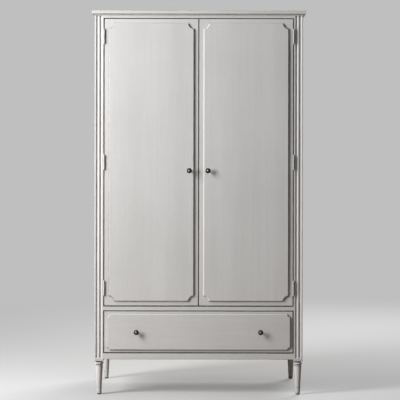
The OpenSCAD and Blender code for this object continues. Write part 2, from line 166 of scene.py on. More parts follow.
PAINT_LIGHT = (0.655, 0.650, 0.645, 1)
PAINT_DARK = (0.580, 0.573, 0.564, 1)
# brown of the glaze, also used as painted shade in grooves, gaps and shaded coves
GLAZE_AND_SHADE = (0.072, 0.053, 0.040, 1)
# pale undercoat shown on worn edges, also standing in as a painted highlight there
UNDERCOAT_AND_HIGHLIGHT = (0.780, 0.765, 0.745, 1)
OAK_LIGHT = (0.50, 0.36, 0.22, 1)
OAK_DARK = (0.34, 0.22, 0.12, 1)
OAK_PORES = (0.12, 0.07, 0.035, 1)
BIRCH_LIGHT = (0.56, 0.43, 0.285, 1)
BIRCH_DARK = (0.46, 0.335, 0.215, 1)
BIRCH_FLECKS = (0.20, 0.12, 0.065, 1)
GRIME = (0.018, 0.014, 0.012, 1)


def antique_paint(name, stretch, glaze_and_shade_all_over=0.0):
    """Brushed grey paint over a pale undercoat, with a brown glaze wiped off the flats. The brown
    in the grooves is partly that glaze and partly painted shade, and the paler worn edges are
    partly a painted highlight. stretch is small along the brush strokes and 1 across them;
    glaze_and_shade_all_over is how much more brown lies all over, as painted shade."""
    material, tree, shader = new_material(name)
    along = place(tree, stretch)
    plain = place(tree)
    strokes = noise(tree, along, scale=70, detail=4.0, roughness=0.6)
    bristles = noise(tree, along, scale=640, roughness=0.6)
    broad = noise(tree, along, scale=7, detail=2.0)
    cloud = noise(tree, plain, scale=2.4, roughness=0.55)
    patches = noise(tree, plain, scale=38, detail=4.0, roughness=0.6)
    tone = weighted_sum(tree, (strokes, 0.18), (broad, 0.26), (bristles, 0.28), (cloud, 0.26))
    color = blend_color(tree, span(tree, tone, 0.36, 0.64), PAINT_DARK, PAINT_LIGHT)
    # thin streaks of glaze that the cloth missed
    streaks = calc(tree, "MULTIPLY", span(tree, bristles, 0.54, 0.70),
                   span(tree, patches, 0.44, 0.70))
    color = blend_color(tree, calc(tree, "MULTIPLY", streaks, 0.16), color, GLAZE_AND_SHADE)
    # paint rubbed through on the open edges to the paler undercoat, partly real wear and partly a
    # painted highlight where the eased edges catch the light
    on_edge = span(tree, corners(tree, radius=0.0022), 0.04, 0.22)
    wear_and_highlight = calc(tree, "MULTIPLY", on_edge, span(tree, patches, 0.42, 0.62))
    wear_and_highlight = calc(tree, "MULTIPLY", wear_and_highlight, span(tree, openness(tree, distance=0.030), 0.45, 0.75))
    color = blend_color(tree, calc(tree, "MULTIPLY", wear_and_highlight, 0.75), color, UNDERCOAT_AND_HIGHLIGHT)
    # brown in the grooves, thickest in the corners and in the gaps: partly glaze, partly painted
    # shade where the recesses lie in shade
    groove_glaze_and_shade = calc(tree, "SUBTRACT", 1.0, openness(tree, distance=0.009), clamp=True)
    groove_glaze_and_shade = calc(tree, "MULTIPLY", span(tree, groove_glaze_and_shade, 0.14, 0.50),
                  span(tree, patches, 0.25, 0.6, 0.70, 0.97))
    color = blend_color(tree, groove_glaze_and_shade, color, GLAZE_AND_SHADE)
    # faces with this look get more brown all over: painted shade, partly from glaze
    if glaze_and_shade_all_over:
        smeared_shade = span(tree, patches, 0.25, 0.65, 0.5 * glaze_and_shade_all_over, glaze_and_shade_all_over)
        color = blend_color(tree, smeared_shade, color, GLAZE_AND_SHADE)
    relief = weighted_sum(tree, (bristles, 0.6), (strokes, 0.4))
    dress(tree, shader, color, span(tree, strokes, 0.3, 0.7, 0.50, 0.66),
          bump(tree, relief, distance=0.0005, strength=0.45))
    return material


def oak(name, stretch):
    """Sealed oak; stretch is small along the grain."""
    material, tree, shader = new_material(name)
    along = place(tree, stretch)
    figure = noise(tree, along, scale=22, detail=4.0, roughness=0.55, distortion=0.6)
    rings = calc(tree, "FRACT", calc(tree, "MULTIPLY", figure, 7.0))
    rings = span(tree, calc(tree, "ABSOLUTE", calc(tree, "SUBTRACT", rings, 0.5)), 0.05, 0.5)
    pores = noise(tree, along, scale=420, detail=2.0, roughness=0.6)
    tone = weighted_sum(tree, (rings, 0.45), (figure, 0.55))
    color = blend_color(tree, span(tree, tone, 0.2, 0.85), OAK_LIGHT, OAK_DARK)
    pore_mask = span(tree, pores, 0.60, 0.72)
    color = blend_color(tree, calc(tree, "MULTIPLY", pore_mask, 0.45), color, OAK_PORES)
    relief = calc(tree, "SUBTRACT", 1.0, pore_mask)
    dress(tree, shader, color, span(tree, pores, 0.3, 0.7, 0.42, 0.58),
          bump(tree, relief, distance=0.0003, strength=0.35))
    return material


def plywood(name, stretch):
    """Sealed birch plywood: long nested contours, each band darkening slowly and ending in a
    fine line."""
    material, tree, shader = new_material(name)
    along = place(tree, stretch)
    figure = noise(tree, along, scale=4.6, detail=1.5, roughness=0.4, distortion=0.5)
    wobble = noise(tree, along, scale=40, detail=2.0)
    bands = calc(tree, "FRACT", weighted_sum(tree, (figure, 13.0), (wobble, 0.35)))
    late = calc(tree, "MULTIPLY", span(tree, bands, 0.25, 0.93),
                span(tree, bands, 0.94, 1.0, 1.0, 0.0))
    fibres = noise(tree, along, scale=520, roughness=0.6)
    tone = weighted_sum(tree, (late, 0.55), (fibres, 0.5))
    color = blend_color(tree, span(tree, tone, 0.10, 1.0), BIRCH_LIGHT, BIRCH_DARK)
    flecks = span(tree, fibres, 0.62, 0.72)
    color = blend_color(tree, calc(tree, "MULTIPLY", flecks, 0.25), color, BIRCH_FLECKS)
    relief = calc(tree, "SUBTRACT", 1.0, fibres)
    dress(tree, shader, color, span(tree, fibres, 0.3, 0.7, 0.44, 0.60),
          bump(tree, relief, distance=0.0002, strength=0.35))
    return material


def aged_metal(name, dark, bright, roughness):
    """Patinated metal, brighter where hands rub its edges and grimy in its grooves."""
    material, tree, shader = new_material(name)
    mottle = noise(tree, place(tree), scale=260, detail=4.0, roughness=0.6)
    on_edge = span(tree, corners(tree, radius=0.0012), 0.02, 0.25)
    rubbed = calc(tree, "ADD", calc(tree, "MULTIPLY", on_edge, 0.5),
                  span(tree, mottle, 0.56, 0.75, 0.0, 0.35), clamp=True)
    color = blend_color(tree, rubbed, dark, bright)
    grime = span(tree, openness(tree, distance=0.004), 0.35, 0.85, 0.8, 0.0)
    shader.inputs["Metallic"].default_value = 0.65
    dress(tree, shader, blend_color(tree, grime, color, GRIME),
          span(tree, mottle, 0.3, 0.7, roughness - 0.08, roughness + 0.1),
          bump(tree, mottle, distance=0.0002, strength=0.3))
    return material


def brushed_steel(name, tint, stretch):
    """Bare steel with fine scratches; stretch is small along them."""
    material, tree, shader = new_material(name)
    scratches = noise(tree, place(tree, stretch), scale=900, roughness=0.6)
    smudges = noise(tree, place(tree), scale=18)
    shade = tuple(0.82 * part for part in tint[:3]) + (1,)
    shader.inputs["Metallic"].default_value = 1.0
    dress(tree, shader, blend_color(tree, scratches, shade, tint),
          span(tree, smudges, 0.3, 0.7, 0.28, 0.42),
          bump(tree, scratches, distance=0.0001, strength=0.25))
    return material


def plastic(name, tint):
    """Moulded plastic with a fine grain."""
    material, tree, shader = new_material(name)
    grain = noise(tree, place(tree), scale=1400, detail=2.0)
    cloud = noise(tree, place(tree), scale=60, detail=2.0)
    lighter = tuple(min(1.0, 1.25 * part + 0.01) for part in tint[:3]) + (1,)
    dress(tree, shader, blend_color(tree, cloud, tint, lighter),
          span(tree, cloud, 0.3, 0.7, 0.45, 0.6),
          bump(tree, grain, distance=0.0001, strength=0.4))
    return material


# scale of a texture along its brush strokes or grain, where 1 is the scale across them
LONG = 0.035
PLY_LONG = 0.09
ALONG = {"x": (LONG, 1, 1), "y": (1, LONG, 1), "z": (1, 1, LONG), "level": (LONG, LONG, 1)}
PAINT = {key: antique_paint("antique_paint_" + key, stretch) for key, stretch in ALONG.items()}
# second looks with more brown all over: painted shade at gaps and in hollows, a thin painted shade
# that dulls a lit cove's highlight, and a faint painted shade on shaded coves
GAP_SHADE = antique_paint("antique_paint_gap_shade", ALONG["z"], glaze_and_shade_all_over=0.78)
THIN_SHADE = antique_paint("antique_paint_thin_shade", ALONG["z"], glaze_and_shade_all_over=0.48)
FAINT_SHADE = antique_paint("antique_paint_faint_shade", ALONG["z"], glaze_and_shade_all_over=0.26)
PAINTED_METAL = antique_paint("antique_paint_metal", (1, 1, 0.4))
WOOD = {key: oak("oak_" + key, ALONG[key]) for key in "xyz"}
PLY = {"x": plywood("plywood_x", (PLY_LONG, 1, 1)),
       "z": plywood("plywood_z", (1, 1, PLY_LONG))}
BRONZE = aged_metal("aged_bronze", dark=(0.055, 0.044, 0.038, 1), bright=(0.30, 0.25, 0.21, 1),
                    roughness=0.32)
# lighter metal for the knobs' boss: partly rubbed wear, partly a painted reflection on its front
RUBBED_BRONZE_AND_REFLECTION = aged_metal("rubbed_bronze_and_painted_reflection", dark=(0.27, 0.235, 0.21, 1),
                           bright=(0.52, 0.46, 0.41, 1), roughness=0.30)
STEEL = brushed_steel("satin_steel", (0.62, 0.61, 0.59, 1), (0.02, 1, 1))
ZINC = brushed_steel("zinc_plate", (0.60, 0.60, 0.58, 1), (1, 1, 1))
CATCH_PLASTIC = plastic("brown_plastic", (0.060, 0.040, 0.028, 1))
GLIDE_PLASTIC = plastic("dark_nylon", (0.030, 0.027, 0.025, 1))


# ---------- mesh helpers ----------

# the material index of faces that get a piece's second look: painted shade at gaps, in hollows and
# on coves, or on knobs the lighter boss with its painted reflection
EDGE = 1


def finish_piece(name, bm, body, material, replaces=(), flats=False, sharp=32,
                 edge_look=GAP_SHADE):
    """Turns a bmesh into a piece that rides on a body. Faces marked EDGE get edge_look. flats
    keeps big flat faces evenly shaded; edges that turn more than sharp degrees stay crisp."""
    bmesh.ops.recalc_face_normals(bm, faces=bm.faces)
    has_edges = any(face.material_index == EDGE for face in bm.faces)
    mesh = bpy.data.meshes.new(name)
    bm.to_mesh(mesh)
    bm.free()
    mesh.materials.append(material)
    if has_edges:
        mesh.materials.append(edge_look)
    mesh.shade_smooth()
    mesh.set_sharp_from_angle(angle=math.radians(sharp))
    piece = bpy.data.objects.new(name, mesh)
    bpy.context.scene.collection.objects.link(piece)
    if flats:
        weighted = piece.modifiers.new("even_flats", "WEIGHTED_NORMAL")
        weighted.keep_sharp = True
    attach(piece, body)
    if replaces:
        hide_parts(*replaces)
    return piece


# the part of a face's normal along an axis over which the face leans that way
LEAN = 0.2


def stands_at_gap(normal, shaded_gap_edges):
    """Whether an eased edge with this normal is one that shaded_gap_edges names: "upright" for those that
    run up the sides, "top" for the one along the top of the front."""
    upright = abs(normal.x) > LEAN and abs(normal.z) < LEAN
    top = normal.z > LEAN and normal.y < -LEAN and abs(normal.x) < LEAN
    return upright and "upright" in shaded_gap_edges or top and "top" in shaded_gap_edges


def board(bm, low, high, ease, joints=(), shaded_gap_edges=()):
    """A board with eased edges. The sides in joints, such as "+x", butt on another board and stay
    sharp. shaded_gap_edges names the eased edges that stand at a gap, which get painted shade
    there."""
    low, high = Vector(low), Vector(high)
    middle, size = (low + high) / 2, high - low
    verts = bmesh.ops.create_cube(bm, size=1.0)["verts"]
    for vert in verts:
        vert.co = Vector(middle[i] + vert.co[i] * size[i] for i in range(3))
    square = set()
    for face in {face for vert in verts for face in vert.link_faces}:
        away = face.calc_center_median() - middle
        axis = max(range(3), key=lambda i: abs(away[i]) / size[i])
        if ("+" if away[axis] > 0 else "-") + "xyz"[axis] in joints:
            square.add(face)
    edges = {edge for vert in verts for edge in vert.link_edges}
    eased = [edge for edge in edges if not square.intersection(edge.link_faces)]
    if eased:
        made = bmesh.ops.bevel(bm, geom=eased, offset=ease, segments=4, profile=0.5,
                               affect="EDGES", clamp_overlap=True)
        for face in made["faces"]:
            face.normal_update()
            # eased edges at a gap get the second look, painted shade that darkens the gap
            if stands_at_gap(face.normal, shaded_gap_edges):
                face.material_index = EDGE


def slab(bm, outline, bottom, top, ease):
    """A level board of any outline, with eased edges."""
    near = [bm.verts.new((x, y, bottom)) for x, y in outline]
    far = [bm.verts.new((x, y, top)) for x, y in outline]
    count = len(outline)
    faces = [bm.faces.new(near), bm.faces.new(far[::-1])]
    for i in range(count):
        j = (i + 1) % count
        faces.append(bm.faces.new((near[j], near[i], far[i], far[j])))
    bmesh.ops.recalc_face_normals(bm, faces=faces)
    edges = list({edge for face in faces for edge in face.edges})
    bmesh.ops.bevel(bm, geom=edges, offset=ease, segments=3, profile=0.5, affect="EDGES",
                    clamp_overlap=True)


def loft(bm, rings):
    """Joins closed rings of equally many points and fills both ends."""
    made = [[bm.verts.new(point) for point in ring] for ring in rings]
    for a, b in zip(made, made[1:]):
        for i in range(len(a)):
            j = (i + 1) % len(a)
            bm.faces.new((a[i], a[j], b[j], b[i]))
    bm.faces.new(made[0][::-1])
    bm.faces.new(made[-1])


def turned(bm, profile, centre, direction=(0, 0, 1), segments=48, looped=False):
    """A turned shape. profile lists (radius, distance along direction); radius 0 closes an end,
    and looped joins the last ring to the first."""
    spin = Vector((0, 0, 1)).rotation_difference(Vector(direction))
    centre = Vector(centre)

    def point(radius, height, step):
        angle = 2 * math.pi * step / segments
        return centre + spin @ Vector((radius * math.cos(angle), radius * math.sin(angle), height))

    rows = []
    for radius, height in profile:
        if radius == 0:
            rows.append([bm.verts.new(point(0, height, 0))] * segments)
        else:
            rows.append([bm.verts.new(point(radius, height, i)) for i in range(segments)])
    pairs = list(zip(rows, rows[1:])) + ([(rows[-1], rows[0])] if looped else [])
    for a, b in pairs:
        for i in range(segments):
            j = (i + 1) % segments
            corner = dict.fromkeys((a[i], a[j], b[j], b[i]))
            bm.faces.new(list(corner))


def arc(centre_a, centre_b, radius, start, end, steps):
    """Points along an arc; angles in degrees, 0 along the first coordinate."""
    angles = [math.radians(start + (end - start) * i / steps) for i in range(steps + 1)]
    return [(centre_a + radius * math.cos(a), centre_b + radius * math.sin(a)) for a in angles]


def in_mm(profile):
    """A profile given in millimetres, turned into metres."""
    return [(radius * MM, height * MM) for radius, height in profile]


# ---------- cornice ----------

CORNICE_EASE = 2 * MM
CORNICE_NOSE = 3 * MM
COVE_FILLET = 2.2 * MM
COVE_FOOT = 0.6 * COVE_FILLET
COVE_EASE = 0.4 * MM
# where points lie on the cornice's rounded corners, in radians
CORNER_POINTS = (0.5, 1.1)


def cornice_path(out):
    """The cornice's outline this far out from the posts at the front and sides, with eased
    corners."""
    left, right, near = -HALF_W - out, HALF_W + out, FRONT - out
    ease = CORNICE_EASE
    turn = [(ease * (1 - math.cos(a)), ease * (1 - math.sin(a))) for a in CORNER_POINTS]
    points = [(left, BACK), (left, near + ease)]
    points += [(left + across, near + along) for across, along in turn]
    points += [(left + ease, near), (right - ease, near)]
    points += [(right - across, near + along) for across, along in turn[::-1]]
    return points + [(right, near + ease), (right, BACK)]


def cornice_board():
    low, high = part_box("cornice_board")
    out, nose = -low.x - HALF_W, CORNICE_NOSE
    under = arc(out - nose, low.z + nose, nose, -90, 0, 6)
    top = arc(out - nose, high.z - nose, nose, 0, 90, 6)
    bm = bmesh.new()
    loft(bm, [[(x, y, z) for x, y in cornice_path(o)] for o, z in under + top])
    finish_piece("cornice_board_moulded", bm, "carcass", PAINT["x"],
                 ["cornice_board"], flats=True)


def cornice_moulding():
    """A cove under the cornice board, with painted shade on the fillet at its top, in the board's
    overhang.
    """
    low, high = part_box("cornice_moulding")
    out, tall = -low.x - HALF_W, high.z - low.z
    reach, rise = out - COVE_FILLET, tall - COVE_FILLET
    cove = [(COVE_FOOT + reach * (1 - math.cos(a)), low.z + rise * math.sin(a))
            for a in [math.radians(9 * i) for i in range(11)]]
    section = [(0.0, low.z), *cove, (out - COVE_EASE, low.z + rise),
               (out, low.z + rise + COVE_EASE), (out, high.z), (0.0, high.z)]
    # side, x and y of each station along the posts, and 1 where the moulding also runs forward
    stations = [(-1, -HALF_W, BACK, 0), (-1, -HALF_W, FRONT, 1), (1, HALF_W, FRONT, 1),
                (1, HALF_W, BACK, 0)]
    bm = bmesh.new()
    loft(bm, [[(x + side * o, y - turn * o, z) for o, z in section]
              for side, x, y, turn in stations])
    # the fillet under the board gets the second look, painted shade
    for face in bm.faces:
        if face.calc_center_median().z > low.z + rise and abs(face.normal.z) < 0.9:
            face.material_index = EDGE
    finish_piece("cornice_cove", bm, "carcass", PAINT["level"],
                 ["cornice_moulding"], flats=True)


# ---------- posts and legs ----------

FLUTE_W = 14 * MM
FLUTE_DEPTH = 4.5 * MM
FLUTE_OFFSET = 9.2 * MM
FLUTE_R = (FLUTE_W ** 2 / 4 + FLUTE_DEPTH ** 2) / (2 * FLUTE_DEPTH)
FLUTE_STEPS = 16
# from the underside of the bottom rail up to the flutes' lowest point
FLUTE_FOOT = 6 * MM
POST_EASE = 1.6 * MM
# the post's inner corner, where a rail butts on it
BUTT_EASE = 0.15 * MM
FOOT_INSET = 1.4 * MM
FRONT_RAILS = [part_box(f"{rail}_front_rail") for rail in ("bottom", "mid", "top")]


def flute_cut(across, below):
    """Depth of a flute this far from its middle line and below the start of its round end."""
    inside = FLUTE_R ** 2 - across ** 2 - below ** 2
    return max(0.0, math.sqrt(max(0.0, inside)) - (FLUTE_R - FLUTE_DEPTH))


def butts_rail(z):
    """Whether a front rail meets the post's inner side at this height."""
    margin = POST_EASE / 2
    return any(low.z + margin < z < high.z - margin for low, high in FRONT_RAILS)


def post_section(low, high, inset, below, eases):
    """Outline of a post at one height, seen from above, with the flutes across its front.
    eases are the radii at its front corners, on the left and on the right."""
    x0, x1, y0, y1 = low.x + inset, high.x - inset, low.y + inset, high.y - inset
    middle = (low.x + high.x) / 2
    points = []
    for x, y, ease, start in ((x1, y0, eases[1], 270), (x1, y1, POST_EASE, 0),
                              (x0, y1, POST_EASE, 90), (x0, y0, eases[0], 180)):
        cx = x - ease if x == x1 else x + ease
        cy = y - ease if y == y1 else y + ease
        points += arc(cx, cy, ease, start, start + 90, 4)
    for flute in (-1, 1):
        for step in range(FLUTE_STEPS + 1):
            across = -FLUTE_W / 2 * math.cos(math.pi * step / FLUTE_STEPS)
            depth = flute_cut(across, below) if inset == 0 else 0.0
            points.append((middle + flute * FLUTE_OFFSET + across, y0 + depth))
    return points


def front_post(hand):
    """A corner post whose flutes end round, just over the underside of the bottom rail."""
    name = f"front_{hand}_post"
    low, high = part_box(name)
    start = FRONT_RAILS[0][0].z + FLUTE_FOOT + FLUTE_W / 2
    # the rings stand close together at the flutes' round ends and at the rails' edges
    heights = {low.z, low.z + 2 * MM, start - 0.55 * FLUTE_W, high.z - 0.1 * MM, high.z}
    heights |= {start - FLUTE_W / 2 * math.cos(math.pi * i / 24) for i in range(13)}
    for rail_low, rail_high in FRONT_RAILS:
        heights |= {rail_low.z, rail_low.z + POST_EASE, rail_high.z - POST_EASE, rail_high.z}
    rings = []
    for z in sorted(height for height in heights if height <= high.z):
        inner = BUTT_EASE if butts_rail(z) else POST_EASE
        eases = (POST_EASE, inner) if hand == "left" else (inner, POST_EASE)
        inset = FOOT_INSET if z == low.z else 0.0
        section = post_section(low, high, inset, max(0.0, start - z), eases)
        rings.append([(x, y, z) for x, y in section])
    bm = bmesh.new()
    loft(bm, rings)
    inner_x = high.x if hand == "left" else low.x
    # the inner front corner beside the door and drawer gaps gets the second look, painted shade in
    # the gap
    for face in bm.faces:
        spot = face.calc_center_median()
        at_corner = abs(spot.x - inner_x) < POST_EASE and spot.y < low.y + POST_EASE
        if at_corner and not butts_rail(spot.z) and spot.z > FRONT_RAILS[0][1].z:
            face.material_index = EDGE
    finish_piece(name + "_fluted", bm, "carcass", PAINT["z"], [name], flats=True,
                 sharp=50)


LEG_H = post_low.z / MM
LEG_PROFILE = in_mm([
    (0, 5), (11.6, 5), *arc(11.6, 9.4, 2.3, -80, 80, 8), (12.2, 13.0), (12.4, 16.5),
    (13.1, 34.0), (13.2, 36.2), *arc(11.2, 40.2, 3.6, -52, 52, 8), (13.4, 44.4), (13.6, 46.0),
    (18.9, LEG_H - 29), (18.6, LEG_H - 27.6), *arc(17.2, LEG_H - 24.8, 2.5, -55, 55, 8),
    (17.3, LEG_H - 22), (17.0, LEG_H - 21.4), (17.0, LEG_H - 19), (17.6, LEG_H - 18.3),
    *arc(16.4, LEG_H - 11.6, 6.3, -66, 84, 14), (15.2, LEG_H - 4.8), (14.7, LEG_H - 3.8),
    (14.5, LEG_H - 2), (14.5, LEG_H), (0, LEG_H),
])
GLIDE_PROFILE = in_mm([(0, 0), (8.6, 0), *arc(8.8, 1.2, 1.2, -90, 0, 4), (10, 5), (0, 5)])
# bottom and top of the hollows beside the turned beads, darkened by glaze and by painted shade
LEG_HOLLOWS = in_mm([
    (11.5, 13.1), (36.1, 37.5), (42.9, 44.5), (LEG_H - 27.7, LEG_H - 26.7),
    (LEG_H - 22.9, LEG_H - 21.3), (LEG_H - 18.4, LEG_H - 17.2), (LEG_H - 5.5, LEG_H - 3.7),
])


def leg(name):
    """A turned leg, with glaze and painted shade in its hollows. Returns the middle of its foot.
    """
    low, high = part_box(name)
    centre = ((low.x + high.x) / 2, (low.y + high.y) / 2, 0)
    bm = bmesh.new()
    turned(bm, LEG_PROFILE, centre)
    for face in bm.faces:
        height = face.calc_center_median().z
        if any(bottom < height < top for bottom, top in LEG_HOLLOWS):
            face.material_index = EDGE
    finish_piece(name + "_turned", bm, "carcass", PAINT["z"], [name], sharp=40)
    return centre


def legs_and_glides():
    bm = bmesh.new()
    for row in ("front", "rear"):
        for hand in HANDS:
            turned(bm, GLIDE_PROFILE, leg(f"{row}_{hand}_leg"), segments=32)
    finish_piece("foot_glides_round", bm, "carcass", GLIDE_PLASTIC,
                 ["foot_glides"])


# ---------- boards that keep the box of their CAD node ----------

def plain_board(node_name, body, material, ease, joints=(), shaded_gap_edges=()):
    """A board in its node's box; ease is in millimetres, the rest as for board."""
    low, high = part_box(node_name)
    bm = bmesh.new()
    board(bm, low, high, ease * MM, joints, shaded_gap_edges)
    finish_piece(node_name + "_board", bm, body, material, [node_name], flats=True)


def painted_board(node_name, body, grain, ease, joints=(), shaded_gap_edges=()):
    plain_board(node_name, body, PAINT[grain], ease, joints, shaded_gap_edges)


ENDS_X = ("-x", "+x")


def carcass_boards():
    painted_board("top_front_rail", "carcass", "x", 1.8, ENDS_X)
    for rail in ("mid_front_rail", "bottom_front_rail"):
        # the top edge under each gap gets painted shade
        painted_board(rail, "carcass", "x", 2.2, ENDS_X, ("top",))
    for hand in HANDS:
        painted_board(f"rear_{hand}_post", "carcass", "z", 1.6)
        painted_board(f"{hand}_side_panel", "carcass", "z", 0.4)
    side_rails()
    painted_board("door_stop", "carcass", "x", 1.2, ENDS_X)


SIDE_GROOVE = 6 * MM


def side_rails():
    """The rails over and under each side panel, which stands in their grooves."""
    panel_low, panel_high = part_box("left_side_panel")
    for hand in HANDS:
        node_name = hand + "_side_rails"
        low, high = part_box(node_name)
        bottom_top = (high.x, high.y, panel_low.z + SIDE_GROOVE)
        top_bottom = (low.x, low.y, panel_high.z - SIDE_GROOVE)
        bm = bmesh.new()
        for corner_a, corner_b in ((low, bottom_top), (top_bottom, high)):
            board(bm, corner_a, corner_b, 1.4 * MM, ("-y", "+y"))
        finish_piece(node_name + "_boards", bm, "carcass", PAINT["y"],
                     [node_name], flats=True)


# ---------- raised panels ----------

PANEL_BEVEL = 5.5 * MM
PANEL_SHOULDER = 1.5 * MM
PANEL_RIM = 0.4 * MM
DOOR_SCOOP = 28 * MM
DRAWER_SCOOP = 15 * MM


def scooped_outline(low, high, inset, scoop):
    """A rectangle in X and Z pulled in by inset, its corners scooped by arcs about the outer
    corners."""
    radius = scoop + inset
    lean = math.degrees(math.asin(inset / radius))
    points = []
    outer = ((low.x, low.z), (high.x, low.z), (high.x, high.z), (low.x, high.z))
    for turn, (x, z) in enumerate(outer):
        points += arc(x, z, radius, 90 * turn + 90 - lean, 90 * turn + lean, 14)
    return points


def panel_profile(proud):
    """How far in and how high, from the outer edge of a raised panel: a shoulder, a cove and an
    eased rim."""
    shoulder, rim, foot = PANEL_SHOULDER, PANEL_RIM, 0.3 * MM
    cove = [(foot + (PANEL_BEVEL - rim - foot) * math.sin(a),
             shoulder + (proud - shoulder - rim) * (1 - math.cos(a)))
            for a in [math.radians(10 * i) for i in range(10)]]
    return [(0.0, 0.0), (0.0, shoulder - 0.2 * MM), (foot / 2, shoulder), *cove,
            (PANEL_BEVEL - 0.7 * rim, proud - 0.3 * rim), (PANEL_BEVEL, proud)]


def raised_panel(node_name, body, scoop, material, shaded_sides, side_shade):
    """A field panel with a cove round its edge that follows the scooped corners.
    shaded_sides names the sides whose cove and scoops get side_shade, painted shade that darkens a
    shaded cove and dulls the highlight of a lit one."""
    low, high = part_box(node_name)
    rings = [[(x, high.y - height, z) for x, z in scooped_outline(low, high, inset, scoop)]
             for inset, height in panel_profile(high.y - low.y)]
    bm = bmesh.new()
    loft(bm, rings)
    reach = scoop + PANEL_BEVEL
    for face in bm.faces:
        spot = face.calc_center_median()
        at_left = spot.x < low.x + reach
        at_bottom = spot.z < low.z + reach and not at_left
        sides = {"left": at_left, "right": spot.x > high.x - reach, "bottom": at_bottom}
        if any(sides[side] for side in shaded_sides):
            face.material_index = EDGE
    finish_piece(node_name + "_coved", bm, body, material, [node_name],
                 flats=True, sharp=40, edge_look=side_shade)


# ---------- knobs ----------

KNOB_BOSS_FOOT = 21.4
KNOB_PROFILE = in_mm([
    (0, 0), (7.6, 0), *arc(7.6, 0.9, 0.9, -60, 60, 4), (7.0, 2.0), (5.8, 2.6), (4.9, 4.2),
    (4.4, 7.0), (4.4, 10.0), (5.0, 12.4), (6.6, 14.4), (9.0, 16.0), (11.2, 17.3),
    *arc(11.0, 20.2, 2.5, -60, 105, 14), (9.2, 22.0), (8.0, 21.4), (7.3, 21.2),
    *[(6.9 * math.cos(a), KNOB_BOSS_FOOT + 6.6 * math.sin(a))
      for a in [math.radians(7.5 * i) for i in range(12)]], (0, 28),
])


def knob(bm, x, z, face_y):
    """A knob with a rolled rim round a lighter boss, partly rubbed and partly a painted
    reflection; face_y is the panel's face it stands on.
    """
    turned(bm, KNOB_PROFILE, (x, face_y, z), (0, -1, 0))
    # faces of the boss get the lighter metal, partly a painted reflection
    boss = (KNOB_BOSS_FOOT + 1.5) * MM
    for face in bm.faces:
        if face_y - face.calc_center_median().y > boss:
            face.material_index = EDGE


def knobs_piece(node_name, panel, body, xs):
    """The knobs of one node, at each x, on the face of a raised panel."""
    low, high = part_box(node_name)
    face_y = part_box(panel)[0].y
    bm = bmesh.new()
    for x in xs:
        knob(bm, x, (low.z + high.z) / 2, face_y)
    finish_piece(node_name + "_turned", bm, body, BRONZE, [node_name], sharp=40,
                 edge_look=RUBBED_BRONZE_AND_REFLECTION)


# ---------- doors ----------

# radii of eased edges, in millimetres
FRONT_EASE = 1.7
INSIDE_EASE = 1.2


def door(hand):
    """A door; the left one has a thin painted shade on the cove that faces the light, dulling its
    highlight.
    """
    body = hand + "_door"
    outer, inner = ("-x", "+x") if hand == "left" else ("+x", "-x")
    # the stiles' upright edges at the gaps get painted shade
    painted_board(f"{body}_hinge_stile", body, "z", FRONT_EASE, (inner,), ("upright",))
    painted_board(f"{body}_lock_stile", body, "z", FRONT_EASE, (outer,), ("upright",))
    painted_board(f"{body}_top_rail", body, "x", FRONT_EASE, ENDS_X)
    painted_board(f"{body}_bottom_rail", body, "x", FRONT_EASE, ENDS_X)
    painted_board(f"{body}_core", body, "z", 0.3)
    panel = f"{body}_raised_panel"
    if hand == "left":
        # thin painted shade on the lit left cove, which dulls its highlight
        raised_panel(panel, body, DOOR_SCOOP, PAINT["z"], ("left",), THIN_SHADE)
    else:
        # faint painted shade on the right and bottom coves, which lie in shade
        raised_panel(panel, body, DOOR_SCOOP, PAINT["z"], ("right", "bottom"), FAINT_SHADE)
    low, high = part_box(f"{body}_knob")
    knobs_piece(f"{body}_knob", panel, body, [(low.x + high.x) / 2])


# ---------- drawer ----------

def drawer():
    # its upright edges at the gaps get painted shade
    painted_board("drawer_front", "drawer", "x", FRONT_EASE, (), ("upright",))
    # faint painted shade on the shaded right and bottom coves, and on the lit left cove to dull
    # its highlight
    raised_panel("drawer_raised_panel", "drawer", DRAWER_SCOOP, PAINT["x"],
                 ("left", "right", "bottom"), FAINT_SHADE)
    for hand in HANDS:
        plain_board(f"drawer_{hand}_side", "drawer", WOOD["y"], INSIDE_EASE,
                    ("-y",))
    plain_board("drawer_back", "drawer", WOOD["x"], INSIDE_EASE, ENDS_X)
    low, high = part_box("drawer_knobs")
    radius = (high.z - low.z) / 2
    knobs_piece("drawer_knobs", "drawer_raised_panel", "drawer", (low.x + radius, high.x - radius))


# ---------- hinges ----------

pins_low, pins_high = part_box("hinge_pins")
HINGE_H = 76 * MM
HINGE_ZS = (pins_low.z + HINGE_H / 2, (pins_low.z + pins_high.z) / 2, pins_high.z - HINGE_H / 2)
KNUCKLES = 5
KNUCKLE_H = HINGE_H / KNUCKLES
KNUCKLE_GAP = 0.3 * MM
KNUCKLE_EASE = 0.35 * MM
KNUCKLE_BORE = 2.1 * MM
PIN_R = 2 * MM
PIN_TIP_R = 3.2 * MM
LEAF_T = 2.2 * MM
LEAF_W = 20 * MM
LEAF_GAP = 0.3 * MM
LEAF_EASE = 0.3 * MM
# a leaf's neck starts this far behind the pin's middle and ends this far behind the front
NECK_START = 1.2 * MM
NECK_END = 3 * MM
NECK_EASE = 0.1 * MM


